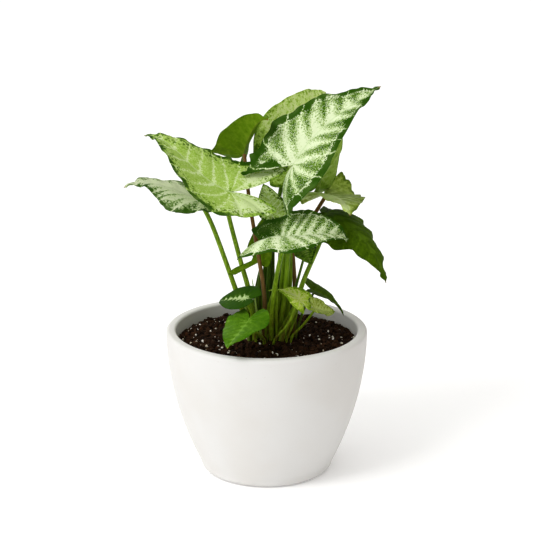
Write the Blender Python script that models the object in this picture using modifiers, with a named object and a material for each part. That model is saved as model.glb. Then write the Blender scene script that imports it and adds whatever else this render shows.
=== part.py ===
"""Arrowhead plant in its white pot, as separate solids at real size.

Metres, +Z up. The origin is the centre of the pot's flat foot, the plant is seen from -Y, and +X is
to the viewer's right. Every solid keeps a gap of about 0.3 mm to its neighbours.
"""

from math import cos, pi, radians, sin

import bmesh
import bpy
import numpy as np

MM = 0.001
GAP = 0.3

# Pot, in millimetres: a thrown bowl shape whose side stands upright at the rim.
POT_HEIGHT = 120.0
RIM_RADIUS = 82.5
SIDE_DRAW_IN = 30.5
FOOT_ROUNDING = 6.0
WALL = 8.0
FLOOR = 9.0
TURN_STEPS = 40

# Soil, in millimetres: it stops 11 mm below the rim and is a little higher in the middle.
SOIL_EDGE_HEIGHT = 109.0
SOIL_MIDDLE_HEIGHT = 110.5
ROOTING_DEPTH = 14.0

# Blades
BLADE_THICKNESS = 0.6
MIDRIB_STATIONS = 40
GRID_ALONG = 12
GRID_ACROSS_HALF = 2

# One side of an arrowhead leaf laid flat, from the tip round the end of the lobe. From there the edge
# runs straight back to the notch at the stalk. The first number runs along the midrib (1 is the tip,
# 0 the notch, -1 the end of the lobe) and the second is the share of the half width.
HALF_OUTLINE = (
    (1.0, 0.0), (0.955, 0.045), (0.88, 0.14), (0.76, 0.32), (0.60, 0.56), (0.42, 0.78), (0.24, 0.94),
    (0.06, 1.0), (-0.30, 0.93), (-0.62, 0.76), (-0.88, 0.54), (-1.0, 0.36), (-0.93, 0.25),
)

# Each blade, in millimetres and degrees. "at" is the notch where the stalk meets it. Heading 0 points
# along +X and 90 along +Y; pitch lifts the midrib; roll lifts the left side. "arch" bends the whole
# midrib down, "droop" mostly its outer half, "sweep" turns it left and "twist" screws it. The paired
# values are for the left and the right side: half width and lobe length as shares of the length,
# the angle of the fold at the midrib, the curl towards the margin, the drop of the lobe, and how far
# the lobe spreads.
BLADES = {
    "crown": dict(at=(21, -17, 263), heading=12, pitch=55, roll=13, length=93, half=(0.39, 0.41),
                  arch=36, droop=-6, sweep=-5, twist=0, fold=(38, 9), curl=(-30, -38),
                  lobe=(0.33, 0.44), drop=(-25, 45), spread=(0.40, -0.05), green=(0.50, 0.66, 0.36)),
    "west": dict(at=(-29, -19, 239), heading=171, pitch=18, roll=-8, length=86, half=(0.40, 0.41),
                 arch=-67, droop=90, sweep=-25, twist=22, fold=(-15, 36), curl=(10, -24),
                 lobe=(0.47, 0.47), drop=(6, -39), spread=(-0.32, 0.31), green=(0.42, 0.60, 0.24)),
    "low_west": dict(at=(-51, 0, 226), heading=142, pitch=11, roll=42, length=72, half=(0.48, 0.41),
                     arch=6, droop=52, sweep=33, twist=-16, fold=(-10, 34), curl=(-69, -18),
                     lobe=(0.30, 0.35), drop=(12, 6), spread=(0.05, 0.10), green=(0.45, 0.56, 0.34)),
    "north_west": dict(at=(-19, 23, 260), heading=-74, pitch=47, roll=21, length=64,
                       half=(0.41, 0.37), arch=-4, droop=49, sweep=10, twist=-22, fold=(30, 55),
                       curl=(19, -14), lobe=(0.38, 0.43), drop=(6, -60), spread=(0.0, 0.31),
                       green=(0.10, 0.24, 0.01)),
    "north": dict(at=(15.4, 50, 259), heading=33, pitch=41, roll=64, length=84, half=(0.41, 0.40),
                  arch=45, droop=24, sweep=-5, twist=0, fold=(24, 14), curl=(-6, -8),
                  lobe=(0.31, 0.38), drop=(8, 14), spread=(0.05, 0.0), green=(0.34, 0.52, 0.13)),
    "north_east": dict(at=(44, 18, 242), heading=-46, pitch=79, roll=-16, length=65,
                       half=(0.37, 0.40), arch=41, droop=11, sweep=-13, twist=-5, fold=(13, 15),
                       curl=(28, -8), lobe=(0.44, 0.20), drop=(-57, 12), spread=(-0.12, 0.0),
                       green=(0.16, 0.31, 0.03)),
    "east": dict(at=(48, 21, 227), heading=-72, pitch=12, roll=-22, length=68, half=(0.43, 0.39),
                 arch=11, droop=28, sweep=4, twist=-4, fold=(19, -4), curl=(-10, -30),
                 lobe=(0.46, 0.39), drop=(-66, 45), spread=(0.22, 0.0), green=(0.42, 0.58, 0.22)),
    "low_east": dict(at=(49, 15, 213), heading=-60, pitch=5, roll=24, length=87, half=(0.38, 0.335),
                     arch=85, droop=7, sweep=10, twist=-28, fold=(-17, 15), curl=(-49, -60),
                     lobe=(0.22, 0.14), drop=(-10, 50), spread=(-0.10, -0.20), green=(0.07, 0.19, 0.01)),
    "front": dict(at=(10, -34, 206), heading=-13, pitch=12, roll=10, length=62, half=(0.46, 0.43),
                  arch=13, droop=74, sweep=25, twist=35, fold=(31, 37), curl=(-29, -71),
                  lobe=(0.39, 0.49), drop=(0, 24), spread=(0.05, 0.18), green=(0.45, 0.62, 0.28)),
    "back": dict(at=(-5, -1, 177), heading=85, pitch=60, roll=-30, length=38, half=(0.30, 0.30),
                 arch=5, droop=5, sweep=0, twist=0, fold=(40, 10), curl=(0, -10),
                 lobe=(0.42, 0.16), drop=(-75, 0), spread=(1.10, 0.30), green=(0.12, 0.28, 0.03)),
    "inner": dict(at=(4, 11, 214), heading=100, pitch=30, roll=-3, length=36, half=(0.32, 0.37),
                  arch=3, droop=2, sweep=4, twist=0, fold=(16, 17), curl=(-8, -6),
                  lobe=(0.35, 0.38), drop=(2, 1), spread=(0.13, 0.15), green=(0.22, 0.40, 0.08)),
    "under": dict(at=(31, -12, 189), heading=-84, pitch=-4, roll=21, length=26, half=(0.40, 0.41),
                  arch=20, droop=4, sweep=2, twist=4, fold=(9, 9), curl=(-11, -12),
                  lobe=(0.38, 0.38), drop=(9, 8), spread=(0.05, 0.05), green=(0.20, 0.34, 0.08)),
    "splash": dict(at=(-17, -30, 154), heading=138, pitch=-12, roll=-33, length=35,
                   half=(0.42, 0.42), arch=9, droop=16, sweep=-5, twist=-6, fold=(17, 13),
                   curl=(-12, -29), lobe=(0.36, 0.38), drop=(0, 13), spread=(0.0, 0.0),
                   green=(0.12, 0.28, 0.04)),
    "round": dict(at=(-15, -52, 142), heading=-112, pitch=-15, roll=12, length=43,
                  half=(0.41, 0.42), arch=-13, droop=15, sweep=2, twist=5, fold=(8, 14),
                  curl=(-36, -15), lobe=(0.41, 0.38), drop=(-5, -7), spread=(0.05, 0.22),
                  green=(0.18, 0.44, 0.05)),
    "lime": dict(at=(26, -20, 150), heading=147, pitch=37, roll=0, length=29, half=(0.40, 0.43),
                 arch=62, droop=-5, sweep=4, twist=32, fold=(3, 9), curl=(-9, 26),
                 lobe=(0.41, 0.41), drop=(26, 24), spread=(0.10, -0.05), green=(0.52, 0.66, 0.20)),
    "olive": dict(at=(39, -25, 144), heading=46, pitch=-25, roll=40, length=25, half=(0.41, 0.41),
                  arch=-10, droop=0, sweep=8, twist=5, fold=(23, 21), curl=(-3, 10),
                  lobe=(0.38, 0.38), drop=(-12, 23), spread=(0.10, 0.0), green=(0.36, 0.46, 0.14)),
    "dark": dict(at=(39, 11, 148), heading=32, pitch=-29, roll=13, length=37, half=(0.40, 0.41),
                 arch=12, droop=22, sweep=-22, twist=0, fold=(28, 7), curl=(-28, -2),
                 lobe=(0.34, 0.33), drop=(-19, 29), spread=(0.0, 0.13), green=(0.05, 0.16, 0.03)),
}

# The stalk of each blade, in millimetres: where it leaves the soil, the points it passes, its radius
# at the soil and its radius at the blade.
STALKS = {
    "low_west": dict(root=(-13, 3), via=((-28, 1, 160), (-43, 0, 204)), thick=2.7, thin=1.8),
    "west": dict(root=(-10, -5), via=((-14, -3, 149), (-22, 1, 179), (-31, -12, 221)),
                 thick=2.7, thin=1.8),
    "north_west": dict(root=(-2, -3), via=((-2, -8, 150), (-7, -7, 185), (-14, 8, 225)),
                       thick=2.3, thin=1.5),
    "back": dict(root=(-7, 5), via=((-7, 2, 145),), thick=2.2, thin=1.3),
    "inner": dict(root=(8, 15), via=((12, 17, 150), (12, 17, 186)), thick=2.2, thin=1.3),
    "crown": dict(root=(9, 3), via=((14, 1, 140), (17, -3, 179), (19, -8, 225)),
                  thick=3.0, thin=1.9),
    "front": dict(root=(4, -6), via=((4, -15, 139), (8, -26, 172)), thick=2.6, thin=1.8),
    "north": dict(root=(-1, 8), via=((1, 11, 149), (4, 22, 188), (12, 42, 229)), thick=2.5, thin=1.7),
    "north_east": dict(root=(15, 11), via=((17, 11, 155), (18, 8, 190), (20, 1, 224), (28, 4, 241)),
                       thick=2.4, thin=1.6),
    "east": dict(root=(21, 8), via=((23, 9, 150), (22, 10, 192), (35.5, 11, 208)), thick=2.3, thin=1.6),
    "low_east": dict(root=(12, -8), via=((21, -6, 132), (30, 0, 160), (43, 6, 190)),
                     thick=2.8, thin=1.8),
    "under": dict(root=(17, 5), via=((23, 1, 150), (28, -5, 173)), thick=1.7, thin=1.0),
    "splash": dict(root=(-9, -13), via=((-12, -21, 137),), thick=1.7, thin=1.1),
    "round": dict(root=(-2, -14), via=((-8, -32, 126),), thick=1.8, thin=1.2),
    "lime": dict(root=(6, -14), via=((18, -19, 130),), thick=1.6, thin=1.0),
    "olive": dict(root=(20, -7), via=((30, -14, 127),), thick=1.5, thin=1.0),
    "dark": dict(root=(24, 1), via=((31, 7, 134),), thick=1.5, thin=1.0),
}
STALK_GREEN = (0.16, 0.32, 0.02)
STALK_BROWN = (0.22, 0.12, 0.05)
BROWN_STALKS = ("north_west", "east")

# New leaves still rolled up, in millimetres: where they leave the soil, the points they pass, the
# point where they end and the radius at the soil.
SPROUTS = {
    "sprout": dict(root=(-4, -9), via=((-8, -10, 135), (-10, -10, 152)), end=(-12, -10, 165), thick=1.5),
    "sheath": dict(root=(-15, -8), via=((-17, -9, 135),), end=(-19, -9, 157), thick=1.4),
}


def smooth_points(points, count):
    """A smooth line through the points (Catmull-Rom), read at `count` even steps."""
    points = np.asarray(points, float)
    padded = np.vstack([2 * points[0] - points[1], points, 2 * points[-1] - points[-2]])
    place = np.linspace(0, len(points) - 1, count)
    index = np.minimum(place.astype(int), len(points) - 2)
    t = (place - index)[:, None]
    a, b, c, d = (padded[index + step] for step in range(4))
    cubic = -a + 3 * b - 3 * c + d
    return 0.5 * (2 * b + (c - a) * t + (2 * a - 5 * b + 4 * c - d) * t**2 + cubic * t**3)


def turned(first, second, degrees):
    """The two unit vectors turned in their own plane, the first towards the second."""
    angle = radians(degrees)
    return cos(angle) * first + sin(angle) * second, cos(angle) * second - sin(angle) * first


def midrib_of(blade):
    """Points of the midrib from notch to tip, with the along, left and up directions at each."""
    heading = radians(blade["heading"])
    pitch = radians(blade["pitch"])
    along = np.array([cos(pitch) * cos(heading), cos(pitch) * sin(heading), sin(pitch)])
    left = np.array([-sin(heading), cos(heading), 0.0])
    up = np.cross(along, left)
    left, up = turned(left, up, blade["roll"])
    point = np.array(blade["at"], float)
    points = [point]
    frames = [(along, left, up)]
    for station in range(MIDRIB_STATIONS):
        reach = (station + 0.5) / MIDRIB_STATIONS
        bend = (blade["arch"] + 3 * reach**2 * blade["droop"]) / MIDRIB_STATIONS
        along, up = turned(along, up, -bend)
        along, left = turned(along, left, blade["sweep"] / MIDRIB_STATIONS)
        left, up = turned(left, up, blade["twist"] / MIDRIB_STATIONS)
        point = point + along * blade["length"] / MIDRIB_STATIONS
        points.append(point)
        frames.append((along, left, up))
    return np.array(points), np.array(frames)


def half_blade(blade, side, rows, columns):
    """A grid of points of one half: rows run from tip to lobe, columns from midrib to margin."""
    number = 0 if side > 0 else 1
    flat = smooth_points(HALF_OUTLINE, rows + 1)
    lobe_share = np.where(flat[:, 0] < 0, blade["lobe"][number], 1.0)
    margin_along = flat[:, 0] * lobe_share
    margin_across = flat[:, 1] * blade["half"][number]
    margin_across += blade["spread"][number] * np.clip(-margin_along, 0, None)
    inner_along = np.clip((margin_along - 0.10) / 0.90, 0, 1)
    outward = np.linspace(0, 1, columns + 1)[None, :]
    along = inner_along[:, None] + (margin_along - inner_along)[:, None] * outward
    across = margin_across[:, None] * outward

    points, frames = midrib_of(blade)
    place = np.clip(along, 0, 1) * MIDRIB_STATIONS
    index = np.minimum(place.astype(int), MIDRIB_STATIONS - 1)
    part = (place - index)[..., None]
    on_rib = points[index] * (1 - part) + points[index + 1] * part
    frame = frames[index] * (1 - part[..., None]) + frames[index + 1] * part[..., None]
    forward, left, up = frame[..., 0, :], frame[..., 1, :], frame[..., 2, :]

    behind = np.clip(-along, 0, None)
    lobe_angle = (radians(blade["drop"][number]) * behind / 0.8)[..., None]
    lobe_way = np.cos(lobe_angle) * forward + np.sin(lobe_angle) * up
    on_rib = on_rib - blade["length"] * behind[..., None] * lobe_way
    curl = blade["curl"][number] * across / blade["half"][number] / 2
    rise = np.radians(blade["fold"][number] + curl)[..., None]
    side_way = side * np.cos(rise) * left + np.sin(rise) * up
    return on_rib + blade["length"] * across[..., None] * side_way


def material(name, colour, roughness):
    made = bpy.data.materials.new(name)
    made.use_nodes = True
    shader = made.node_tree.nodes["Principled BSDF"]
    shader.inputs["Base Color"].default_value = (*colour, 1)
    shader.inputs["Roughness"].default_value = roughness
    made.diffuse_color = (*colour, 1)
    return made


def in_plant(item, finish):
    """Gives an object its material and moves it to the plant's collection."""
    item.data.materials.clear()
    item.data.materials.append(finish)
    for home in list(item.users_collection):
        home.objects.unlink(item)
    plant.objects.link(item)
    return item


def turned_solid(name, outline, finish):
    """A solid turned about Z from an outline of (radius, height) points, axis to axis."""
    mesh = bpy.data.meshes.new(name)
    form = bmesh.new()
    corners = [form.verts.new((radius * MM, 0, height * MM)) for radius, height in outline]
    for first, second in zip(corners, corners[1:]):
        form.edges.new((first, second))
    form.to_mesh(mesh)
    form.free()
    item = in_plant(bpy.data.objects.new(name, mesh), finish)
    screw = item.modifiers.new("turn", "SCREW")
    screw.axis = "Z"
    screw.steps = TURN_STEPS
    screw.render_steps = TURN_STEPS
    screw.use_merge_vertices = True
    screw.merge_threshold = 0.0001
    return item


def side_radius(height):
    """The pot's outer radius: a parabola that stands upright at the rim."""
    below_rim = 1 - height / POT_HEIGHT
    return RIM_RADIUS - SIDE_DRAW_IN * below_rim**2


def arc(centre, radius, start, end, steps):
    """Points (radius, height) of an arc between two angles in degrees."""
    angles = np.radians(np.linspace(start, end, steps + 1))
    return [(centre[0] + radius * cos(angle), centre[1] + radius * sin(angle)) for angle in angles]


def inner_side(clearance, floor, top, steps):
    """The inside of the pot from the floor corner up to a height, drawn in by a clearance."""
    corner_height = floor + FOOT_ROUNDING
    corner = (side_radius(corner_height) - WALL - clearance - FOOT_ROUNDING, corner_height)
    points = arc(corner, FOOT_ROUNDING, -90, 0, 3)
    for height in np.linspace(corner_height, top, steps + 1)[1:]:
        points.append((side_radius(height) - WALL - clearance, height))
    return points


def make_pot():
    lip_radius = WALL / 2
    lip_height = POT_HEIGHT - lip_radius
    outline = [(0, FLOOR)]
    outline += inner_side(0, FLOOR, SOIL_EDGE_HEIGHT, 5)
    lip_centre = (side_radius(lip_height) - lip_radius, lip_height)
    outline += arc(lip_centre, lip_radius, 180, 0, 6)
    for height in np.linspace(lip_height, FOOT_ROUNDING, 8)[1:-1]:
        outline.append((side_radius(height), height))
    foot_centre = (side_radius(FOOT_ROUNDING) - FOOT_ROUNDING, FOOT_ROUNDING)
    outline += arc(foot_centre, FOOT_ROUNDING, 0, -90, 4)
    outline.append((0, 0))
    ceramic = material("white ceramic", (0.80, 0.80, 0.78), 0.5)
    return turned_solid("pot", outline, ceramic)


def make_soil():
    outline = [(0, SOIL_MIDDLE_HEIGHT)]
    side = inner_side(GAP, FLOOR + GAP, SOIL_EDGE_HEIGHT, 5)
    outline.append((40, SOIL_MIDDLE_HEIGHT))
    outline += side[::-1]
    outline.append((0, FLOOR + GAP))
    potting_soil = material("potting soil", (0.035, 0.018, 0.010), 0.95)
    soil = turned_solid("soil", outline, potting_soil)
    roots = [(stalk["root"], stalk["thick"]) for stalk in (*STALKS.values(), *SPROUTS.values())]
    for number, (root, radius) in enumerate(roots):
        height = ROOTING_DEPTH + GAP + 2
        middle = SOIL_MIDDLE_HEIGHT - ROOTING_DEPTH - GAP + height / 2
        bpy.ops.mesh.primitive_cylinder_add(
            vertices=8,
            radius=(radius + GAP) / cos(pi / 8) * MM,
            depth=height * MM,
            location=(root[0] * MM, root[1] * MM, middle * MM),
        )
        hole = bpy.context.object
        hole.name = f"root_hole_{number + 1}"
        hole.hide_render = True
        hole.display_type = "WIRE"
        for home in list(hole.users_collection):
            home.objects.unlink(hole)
        cutters.objects.link(hole)
    cut = soil.modifiers.new("root holes", "BOOLEAN")
    cut.operand_type = "COLLECTION"
    cut.collection = cutters
    cut.operation = "DIFFERENCE"
    cut.solver = "EXACT"
    return soil


def make_blade(name, blade):
    """A grid primitive bent into the arrowhead shape, then given its thickness."""
    mesh = bpy.data.meshes.new(name)
    form = bmesh.new()
    across = 2 * GRID_ACROSS_HALF
    bmesh.ops.create_grid(form, x_segments=across, y_segments=GRID_ALONG, size=1)
    halves = {side: half_blade(blade, side, GRID_ALONG, GRID_ACROSS_HALF) for side in (1, -1)}
    for corner in form.verts:
        row = round((1 - corner.co.y) / 2 * GRID_ALONG)
        column = round(corner.co.x * GRID_ACROSS_HALF)
        side = -1 if column > 0 else 1
        corner.co = halves[side][row, abs(column)] * MM
    bmesh.ops.remove_doubles(form, verts=form.verts, dist=0.00005)
    form.to_mesh(mesh)
    form.free()
    item = in_plant(bpy.data.objects.new(name, mesh), material(name, blade["green"], 0.45))
    sheet = item.modifiers.new("thickness", "SOLIDIFY")
    sheet.thickness = BLADE_THICKNESS * MM
    sheet.offset = 0
    return item


def tapered_tube(name, points, radii, finish):
    """A round tube through the points, with its own radius at each."""
    curve = bpy.data.curves.new(name, "CURVE")
    curve.dimensions = "3D"
    curve.bevel_depth = MM
    curve.bevel_resolution = 1
    curve.use_fill_caps = True
    curve.resolution_u = 1
    spline = curve.splines.new("POLY")
    spline.points.add(len(points) - 1)
    for place, point, radius in zip(spline.points, points, radii):
        place.co = (*(np.array(point) * MM), 1)
        place.radius = radius
    return in_plant(bpy.data.objects.new(name, curve), finish)


def stalk_end(name, stalk):
    """Where a stalk stops: under the start of its blade's midrib, clear of the blade by the gap."""
    blade = BLADES[name]
    points, frames = midrib_of(blade)
    seat = points[1]
    up = frames[1][2]
    way = seat - np.array(stalk["via"][-1], float)
    way /= np.linalg.norm(way)
    tilt = np.sqrt(max(0.0, 1 - float(way @ up) ** 2))
    sag = max(0.0, -sin(radians(min(blade["fold"]))))
    below = BLADE_THICKNESS / 2 + GAP + stalk["thin"] * (tilt + sag)
    return seat - up * below


def make_stalk(name, stalk, finish):
    root = stalk["root"]
    bottom = (*root, SOIL_MIDDLE_HEIGHT - ROOTING_DEPTH)
    neck = (*root, SOIL_MIDDLE_HEIGHT + 2)
    route = [neck, *stalk["via"], stalk_end(name, stalk)]
    steps = 3 * len(stalk["via"]) + 3
    bent = smooth_points(route, steps)
    share = np.linspace(0, 1, steps)
    radii = stalk["thin"] + (stalk["thick"] - stalk["thin"]) * (1 - share) ** 2
    return tapered_tube(f"stalk_{name}", [bottom, *bent], [stalk["thick"], *radii], finish)


def make_sprout(name, sprout, finish):
    root = sprout["root"]
    bottom = (*root, SOIL_MIDDLE_HEIGHT - ROOTING_DEPTH)
    neck = (*root, SOIL_MIDDLE_HEIGHT + 2)
    bent = smooth_points([neck, *sprout["via"], sprout["end"]], 7)
    share = np.linspace(0, 1, 7)
    radii = 0.25 + (sprout["thick"] - 0.25) * (1 - share)
    return tapered_tube(name, [bottom, *bent], [sprout["thick"], *radii], finish)


for old in list(bpy.data.objects):
    bpy.data.objects.remove(old, do_unlink=True)
plant = bpy.data.collections.new("arrowhead plant")
cutters = bpy.data.collections.new("cutters")
bpy.context.scene.collection.children.link(plant)
bpy.context.scene.collection.children.link(cutters)
cutters.hide_render = True

make_pot()
make_soil()
for blade_name, blade_sizes in BLADES.items():
    make_blade(f"leaf_{blade_name}", blade_sizes)
green_stalk = material("green stalk", STALK_GREEN, 0.5)
brown_stalk = material("brown stalk", STALK_BROWN, 0.5)
for stalk_name, stalk_route in STALKS.items():
    make_stalk(stalk_name, stalk_route, brown_stalk if stalk_name in BROWN_STALKS else green_stalk)
for sprout_name, sprout_route in SPROUTS.items():
    make_sprout(sprout_name, sprout_route, green_stalk)
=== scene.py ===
# %% [markdown]
# # An arrowhead plant in its white pot
# This lesson dresses a potted arrowhead plant for a studio picture. The sizes come from the packed
# model: a pot 165 mm across, a plug of potting mix, and blades on long stalks. Each cell makes one kind
# of piece, from the pot upwards, and the last cells place the floor and the light.

# %% The imported model
from math import cos, pi, radians, sin

import bpy
import numpy as np
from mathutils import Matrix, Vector, noise


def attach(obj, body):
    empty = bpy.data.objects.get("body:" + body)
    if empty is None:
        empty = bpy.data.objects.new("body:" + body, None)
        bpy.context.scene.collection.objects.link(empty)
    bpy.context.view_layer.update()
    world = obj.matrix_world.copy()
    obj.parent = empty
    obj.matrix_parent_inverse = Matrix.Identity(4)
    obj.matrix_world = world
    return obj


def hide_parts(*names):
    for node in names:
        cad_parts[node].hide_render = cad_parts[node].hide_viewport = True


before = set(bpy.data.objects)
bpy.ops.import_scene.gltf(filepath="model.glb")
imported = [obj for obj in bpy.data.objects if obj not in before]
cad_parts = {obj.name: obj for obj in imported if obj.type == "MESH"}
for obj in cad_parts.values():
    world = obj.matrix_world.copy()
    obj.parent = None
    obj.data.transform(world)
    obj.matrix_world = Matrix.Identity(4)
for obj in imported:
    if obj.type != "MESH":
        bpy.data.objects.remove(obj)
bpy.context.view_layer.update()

MM = 0.001
print("nodes to dress:", len(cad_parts))

# %% [markdown]
# ## The camera
# The picture looks down on the pot by 16.5 degrees, so that the rim is a wide ellipse and the soil
# shows. A long lens from 1.4 m keeps the sides of the pot nearly parallel. The camera is aimed with
# a vector: to_track_quat turns a direction into a rotation, so that no angle is worked out by hand.

# %% Camera
CAMERA_TILT = radians(16.5)
CAMERA_DISTANCE = 1400 * MM
AIM_HEIGHT = 172 * MM
PICTURE_PIXELS = 533
FOCAL_PIXELS = 1722
SENSOR = 36.0

aim = Vector((-0.2 * MM, 0, AIM_HEIGHT))
eye = aim + CAMERA_DISTANCE * Vector((0, -cos(CAMERA_TILT), sin(CAMERA_TILT)))
camera_data = bpy.data.cameras.new("studio camera")
camera_data.sensor_width = SENSOR
camera_data.lens = SENSOR * FOCAL_PIXELS / PICTURE_PIXELS
camera = bpy.data.objects.new("studio camera", camera_data)
camera.location = eye
camera.rotation_euler = (aim - eye).to_track_quat("-Z", "Y").to_euler()
bpy.context.scene.collection.objects.link(camera)
bpy.context.scene.camera = camera
print("lens in mm:", round(camera_data.lens, 1))

# %% [markdown]
# ## Small helpers
# Operators act on whatever is selected, so every piece starts with nothing selected. A finished piece
# has its place in its mesh and rides on the plant's one body.

# %% Helpers for pieces
def select_only(piece):
    bpy.ops.object.select_all(action="DESELECT")
    piece.select_set(True)
    bpy.context.view_layer.objects.active = piece


def primitive(name, adder, **settings):
    """Adds a primitive with nothing else selected, and names it and its mesh."""
    bpy.ops.object.select_all(action="DESELECT")
    adder(**settings)
    piece = bpy.context.object
    piece.name = name
    piece.data.name = name
    return piece


def square_grid(name, columns, rows):
    """A flat grid from -1 to 1, whose points are then moved to where the piece needs them."""
    adder = bpy.ops.mesh.primitive_grid_add
    return primitive(name, adder, x_subdivisions=columns, y_subdivisions=rows, size=2)


def close_up(angle, merge=0.01):
    """From edit mode: welds what touches, turns the faces outwards, and smooths the mesh."""
    bpy.ops.mesh.select_all(action="SELECT")
    bpy.ops.mesh.remove_doubles(threshold=merge * MM)
    bpy.ops.mesh.normals_make_consistent(inside=False)
    bpy.ops.object.mode_set(mode="OBJECT")
    bpy.ops.object.shade_smooth_by_angle(angle=radians(angle))


def thicken(piece, thickness, angle, underside=0):
    """Gives a sheet its thickness, half to each side, and smooths it."""
    sheet = piece.modifiers.new("thickness", "SOLIDIFY")
    sheet.thickness = thickness * MM
    sheet.offset = 0
    sheet.material_offset = underside
    bpy.ops.object.modifier_apply(modifier=sheet.name)
    bpy.ops.object.shade_smooth_by_angle(angle=radians(angle))


def settle(piece, slot, *nodes):
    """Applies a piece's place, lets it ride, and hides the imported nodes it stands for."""
    select_only(piece)
    bpy.ops.object.transform_apply(location=True, rotation=True, scale=True)
    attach(piece, "root")
    if nodes:
        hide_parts(*nodes)


def smooth_points(points, count):
    """A smooth line through the points (Catmull-Rom), read at `count` even steps."""
    points = np.asarray(points, float)
    padded = np.vstack([2 * points[0] - points[1], points, 2 * points[-1] - points[-2]])
    place = np.linspace(0, len(points) - 1, count)
    index = np.minimum(place.astype(int), len(points) - 2)
    t = (place - index)[:, None]
    a, b, c, d = (padded[index + step] for step in range(4))
    cubic = -a + 3 * b - 3 * c + d
    return 0.5 * (2 * b + (c - a) * t + (2 * a - 5 * b + 4 * c - d) * t**2 + cubic * t**3)


# %% [markdown]
# A material is a small graph of nodes. These helpers add a node, feed its sockets in order, and hand
# back the output, so that a recipe reads from top to bottom like a formula.

# %% Helpers for materials
def wire(sockets, feeds):
    """Feeds each socket with an output, or sets it to a plain value. None leaves it alone."""
    for socket, feed in zip(sockets, feeds):
        if isinstance(feed, bpy.types.NodeSocket):
            socket.id_data.links.new(feed, socket)
        elif feed is not None:
            socket.default_value = feed


def add(kind, *feeds, tree=None, output=0, **settings):
    """Adds a shader node to the tree of what feeds it, and hands back one of its outputs."""
    if tree is None:
        tree = next(feed for feed in feeds if isinstance(feed, bpy.types.NodeSocket)).id_data
    made = tree.nodes.new("ShaderNode" + kind)
    for key, value in settings.items():
        setattr(made, key, value)
    wire(made.inputs, feeds)
    return made.outputs[output]


def maths(operation, *feeds):
    return add("Math", *feeds, operation=operation)


def ease(value, low, high, bottom=0.0, top=1.0):
    """A soft step: bottom where the value is under low, top where it is over high."""
    return add("MapRange", value, low, high, bottom, top, interpolation_type="SMOOTHSTEP")


def blend(share, *colours):
    """Mixes two colours, each an output or plain red, green and blue, by a share from 0 to 1."""
    whole = [tint if isinstance(tint, bpy.types.NodeSocket) else (*tint, 1) for tint in colours]
    return add("Mix", share, *[None] * 5, *whole, output=2, data_type="RGBA")


def ramp(value, stops, tints):
    """Colours along a value, with one tint at each stop from 0 to 1."""
    colour = add("ValToRGB", value)
    bands = colour.node.color_ramp.elements
    while len(bands) < len(stops):
        bands.new(1.0)
    for band, stop, tint in zip(bands, stops, tints):
        band.position = stop
        band.color = (*tint, 1)
    return colour


def grain(place, size, detail=2.0, roughness=0.5):
    """Cloudy noise from 0 to 1 whose blobs are about `size` millimetres."""
    return add("TexNoise", place, None, 1 / (size * MM), detail, roughness)


def relief(strength, height, pattern):
    """A bump of `height` millimetres that only turns the light, and moves no point."""
    return add("Bump", strength, height * MM, pattern)


def new_material(name):
    """A fresh material, its shader and the object coordinates."""
    made = bpy.data.materials.new(name)
    made.use_nodes = True
    return made, made.node_tree.nodes["Principled BSDF"], add("TexCoord", tree=made.node_tree, output=3)


def coat(shader, feeds):
    """Feeds the shader's sockets by name, with outputs or plain values."""
    wire([shader.inputs[socket] for socket in feeds], feeds.values())


# %% [markdown]
# ## The pot
# The real pot is slip-cast stoneware with a matte white glaze: an upright rim with a narrow flat top
# between two rounded edges, and a side that curves in to a narrow foot. A turned shape could be a Screw
# modifier, a stack of cylinders, or a spun outline. Here one point is extruded along the outline and
# spun round the axis, which is how it would be drawn by hand.

# %% Outline of the pot
POT_HEIGHT = 120.0
RIM_RADIUS = 82.5
SIDE_DRAW_IN = 30.5
FOOT_ROUNDING = 6.0
WALL = 8.0
INNER_LIP = 2.2
OUTER_LIP = 3.0
FLOOR = 9.0
SPIN_STEPS = 128


def side_radius(height):
    """The pot's outer radius: a parabola that stands upright at the rim."""
    below_rim = 1 - height / POT_HEIGHT
    return RIM_RADIUS - SIDE_DRAW_IN * below_rim**2


def arc(centre, radius, first, last, steps):
    """Points (radius, height) of an arc between two angles in degrees."""
    angles = np.radians(np.linspace(first, last, steps + 1))
    return [(centre[0] + radius * cos(angle), centre[1] + radius * sin(angle)) for angle in angles]


def pot_outline():
    """From the middle of the inner floor, up the inside, over the flat lip and down to the foot."""
    rim = side_radius(POT_HEIGHT)
    corner = (side_radius(FLOOR + FOOT_ROUNDING) - WALL - FOOT_ROUNDING, FLOOR + FOOT_ROUNDING)
    points = [(0, FLOOR), *arc(corner, FOOT_ROUNDING, -90, 0, 6)]
    for height in np.linspace(FLOOR + FOOT_ROUNDING, POT_HEIGHT - INNER_LIP, 14)[1:-1]:
        points.append((side_radius(height) - WALL, height))
    points += arc((rim - WALL + INNER_LIP, POT_HEIGHT - INNER_LIP), INNER_LIP, 180, 90, 8)
    points += arc((rim - OUTER_LIP, POT_HEIGHT - OUTER_LIP), OUTER_LIP, 90, 0, 8)
    for height in np.linspace(POT_HEIGHT - OUTER_LIP, FOOT_ROUNDING, 26)[1:-1]:
        points.append((side_radius(height), height))
    points += arc((side_radius(FOOT_ROUNDING) - FOOT_ROUNDING, FOOT_ROUNDING), FOOT_ROUNDING, 0, -90, 8)
    return [*points, (0, 0)]


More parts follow.
